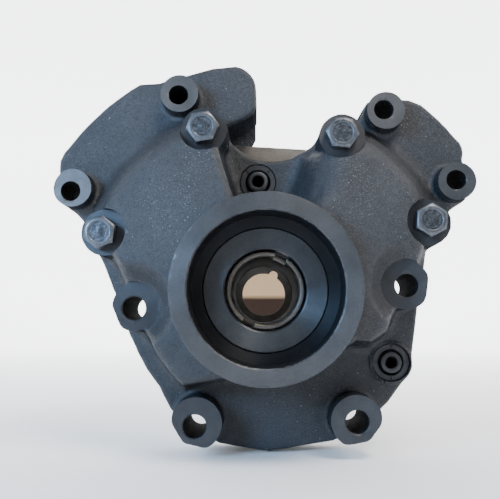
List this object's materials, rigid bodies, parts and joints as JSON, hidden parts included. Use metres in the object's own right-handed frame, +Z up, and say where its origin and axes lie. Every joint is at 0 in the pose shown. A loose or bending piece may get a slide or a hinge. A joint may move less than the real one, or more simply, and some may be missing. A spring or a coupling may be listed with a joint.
{
  "type": "hydraulic gear pump",
  "caption": "Shaft-driven internal gear pump with a crescent: V-shaped cast housing with a round seal ring, bolt bosses, rear cover and slotted drive sleeve.",
  "frame": {"origin": "on the drive axis, in the plane of the rear mounting face", "axes": "+Y along the drive axis from the seal ring to the rear, +Z up towards the saddle between the wings, +X to the right seen from the front"},
  "size_m": [0.2378, 0.105, 0.2231],
  "materials": {
    "casting": "fine-grained dark blue-grey casting, machined faces satin",
    "machined_casting": "machined, faintly straw-brown grey iron",
    "gear_steel": "ground steel",
    "sleeve_steel": "bright turned steel, slightly warm",
    "dark_steel": "oiled dark steel",
    "bearing_steel": "satin dark ground steel",
    "bronze": "dull bearing bronze",
    "bolt_steel": "worn dark zinc finish",
    "seal_rubber": "matt black rubber"
  },
  "bodies": {
    "pump_body": {"pump_housing": "casting", "rear_cover": "machined_casting", "crescent": "bronze", "crescent_pin_1": "gear_steel", "crescent_pin_2": "gear_steel", "front_side_plate": "bronze", "rear_side_plate": "bronze", "front_bearing_ring": "bearing_steel", "rear_bearing_bush": "bronze", "dowel_sleeve_1": "dark_steel", "dowel_sleeve_2": "dark_steel", "spigot_o_ring": "seal_rubber", "pressure_port_seal": "seal_rubber", "cover_bolt_1": "bolt_steel", "cover_bolt_2": "bolt_steel", "cover_bolt_3": "bolt_steel", "cover_bolt_4": "bolt_steel"},
    "drive_rotor": {"drive_gear": "gear_steel", "drive_sleeve": "sleeve_steel", "sleeve_retaining_ring": "dark_steel"},
    "ring_rotor": {"ring_gear": "gear_steel"}
  },
  "joints": [
    {"name": "ring_gear_spin", "type": "hinge", "parent": "pump_body", "child": "ring_rotor", "pos_m": [0, -0.012, -0.0105], "axis": [0, 1, 0], "continuous": true},
    {"name": "drive_spin", "type": "hinge", "parent": "pump_body", "child": "drive_rotor", "pos_m": [0, -0.012, 0], "axis": [0, 1, 0], "continuous": true}
  ],
  "couplings": [
    {"joint": "drive_spin", "follows": "ring_gear_spin", "ratio": 1.3529}
  ]
}
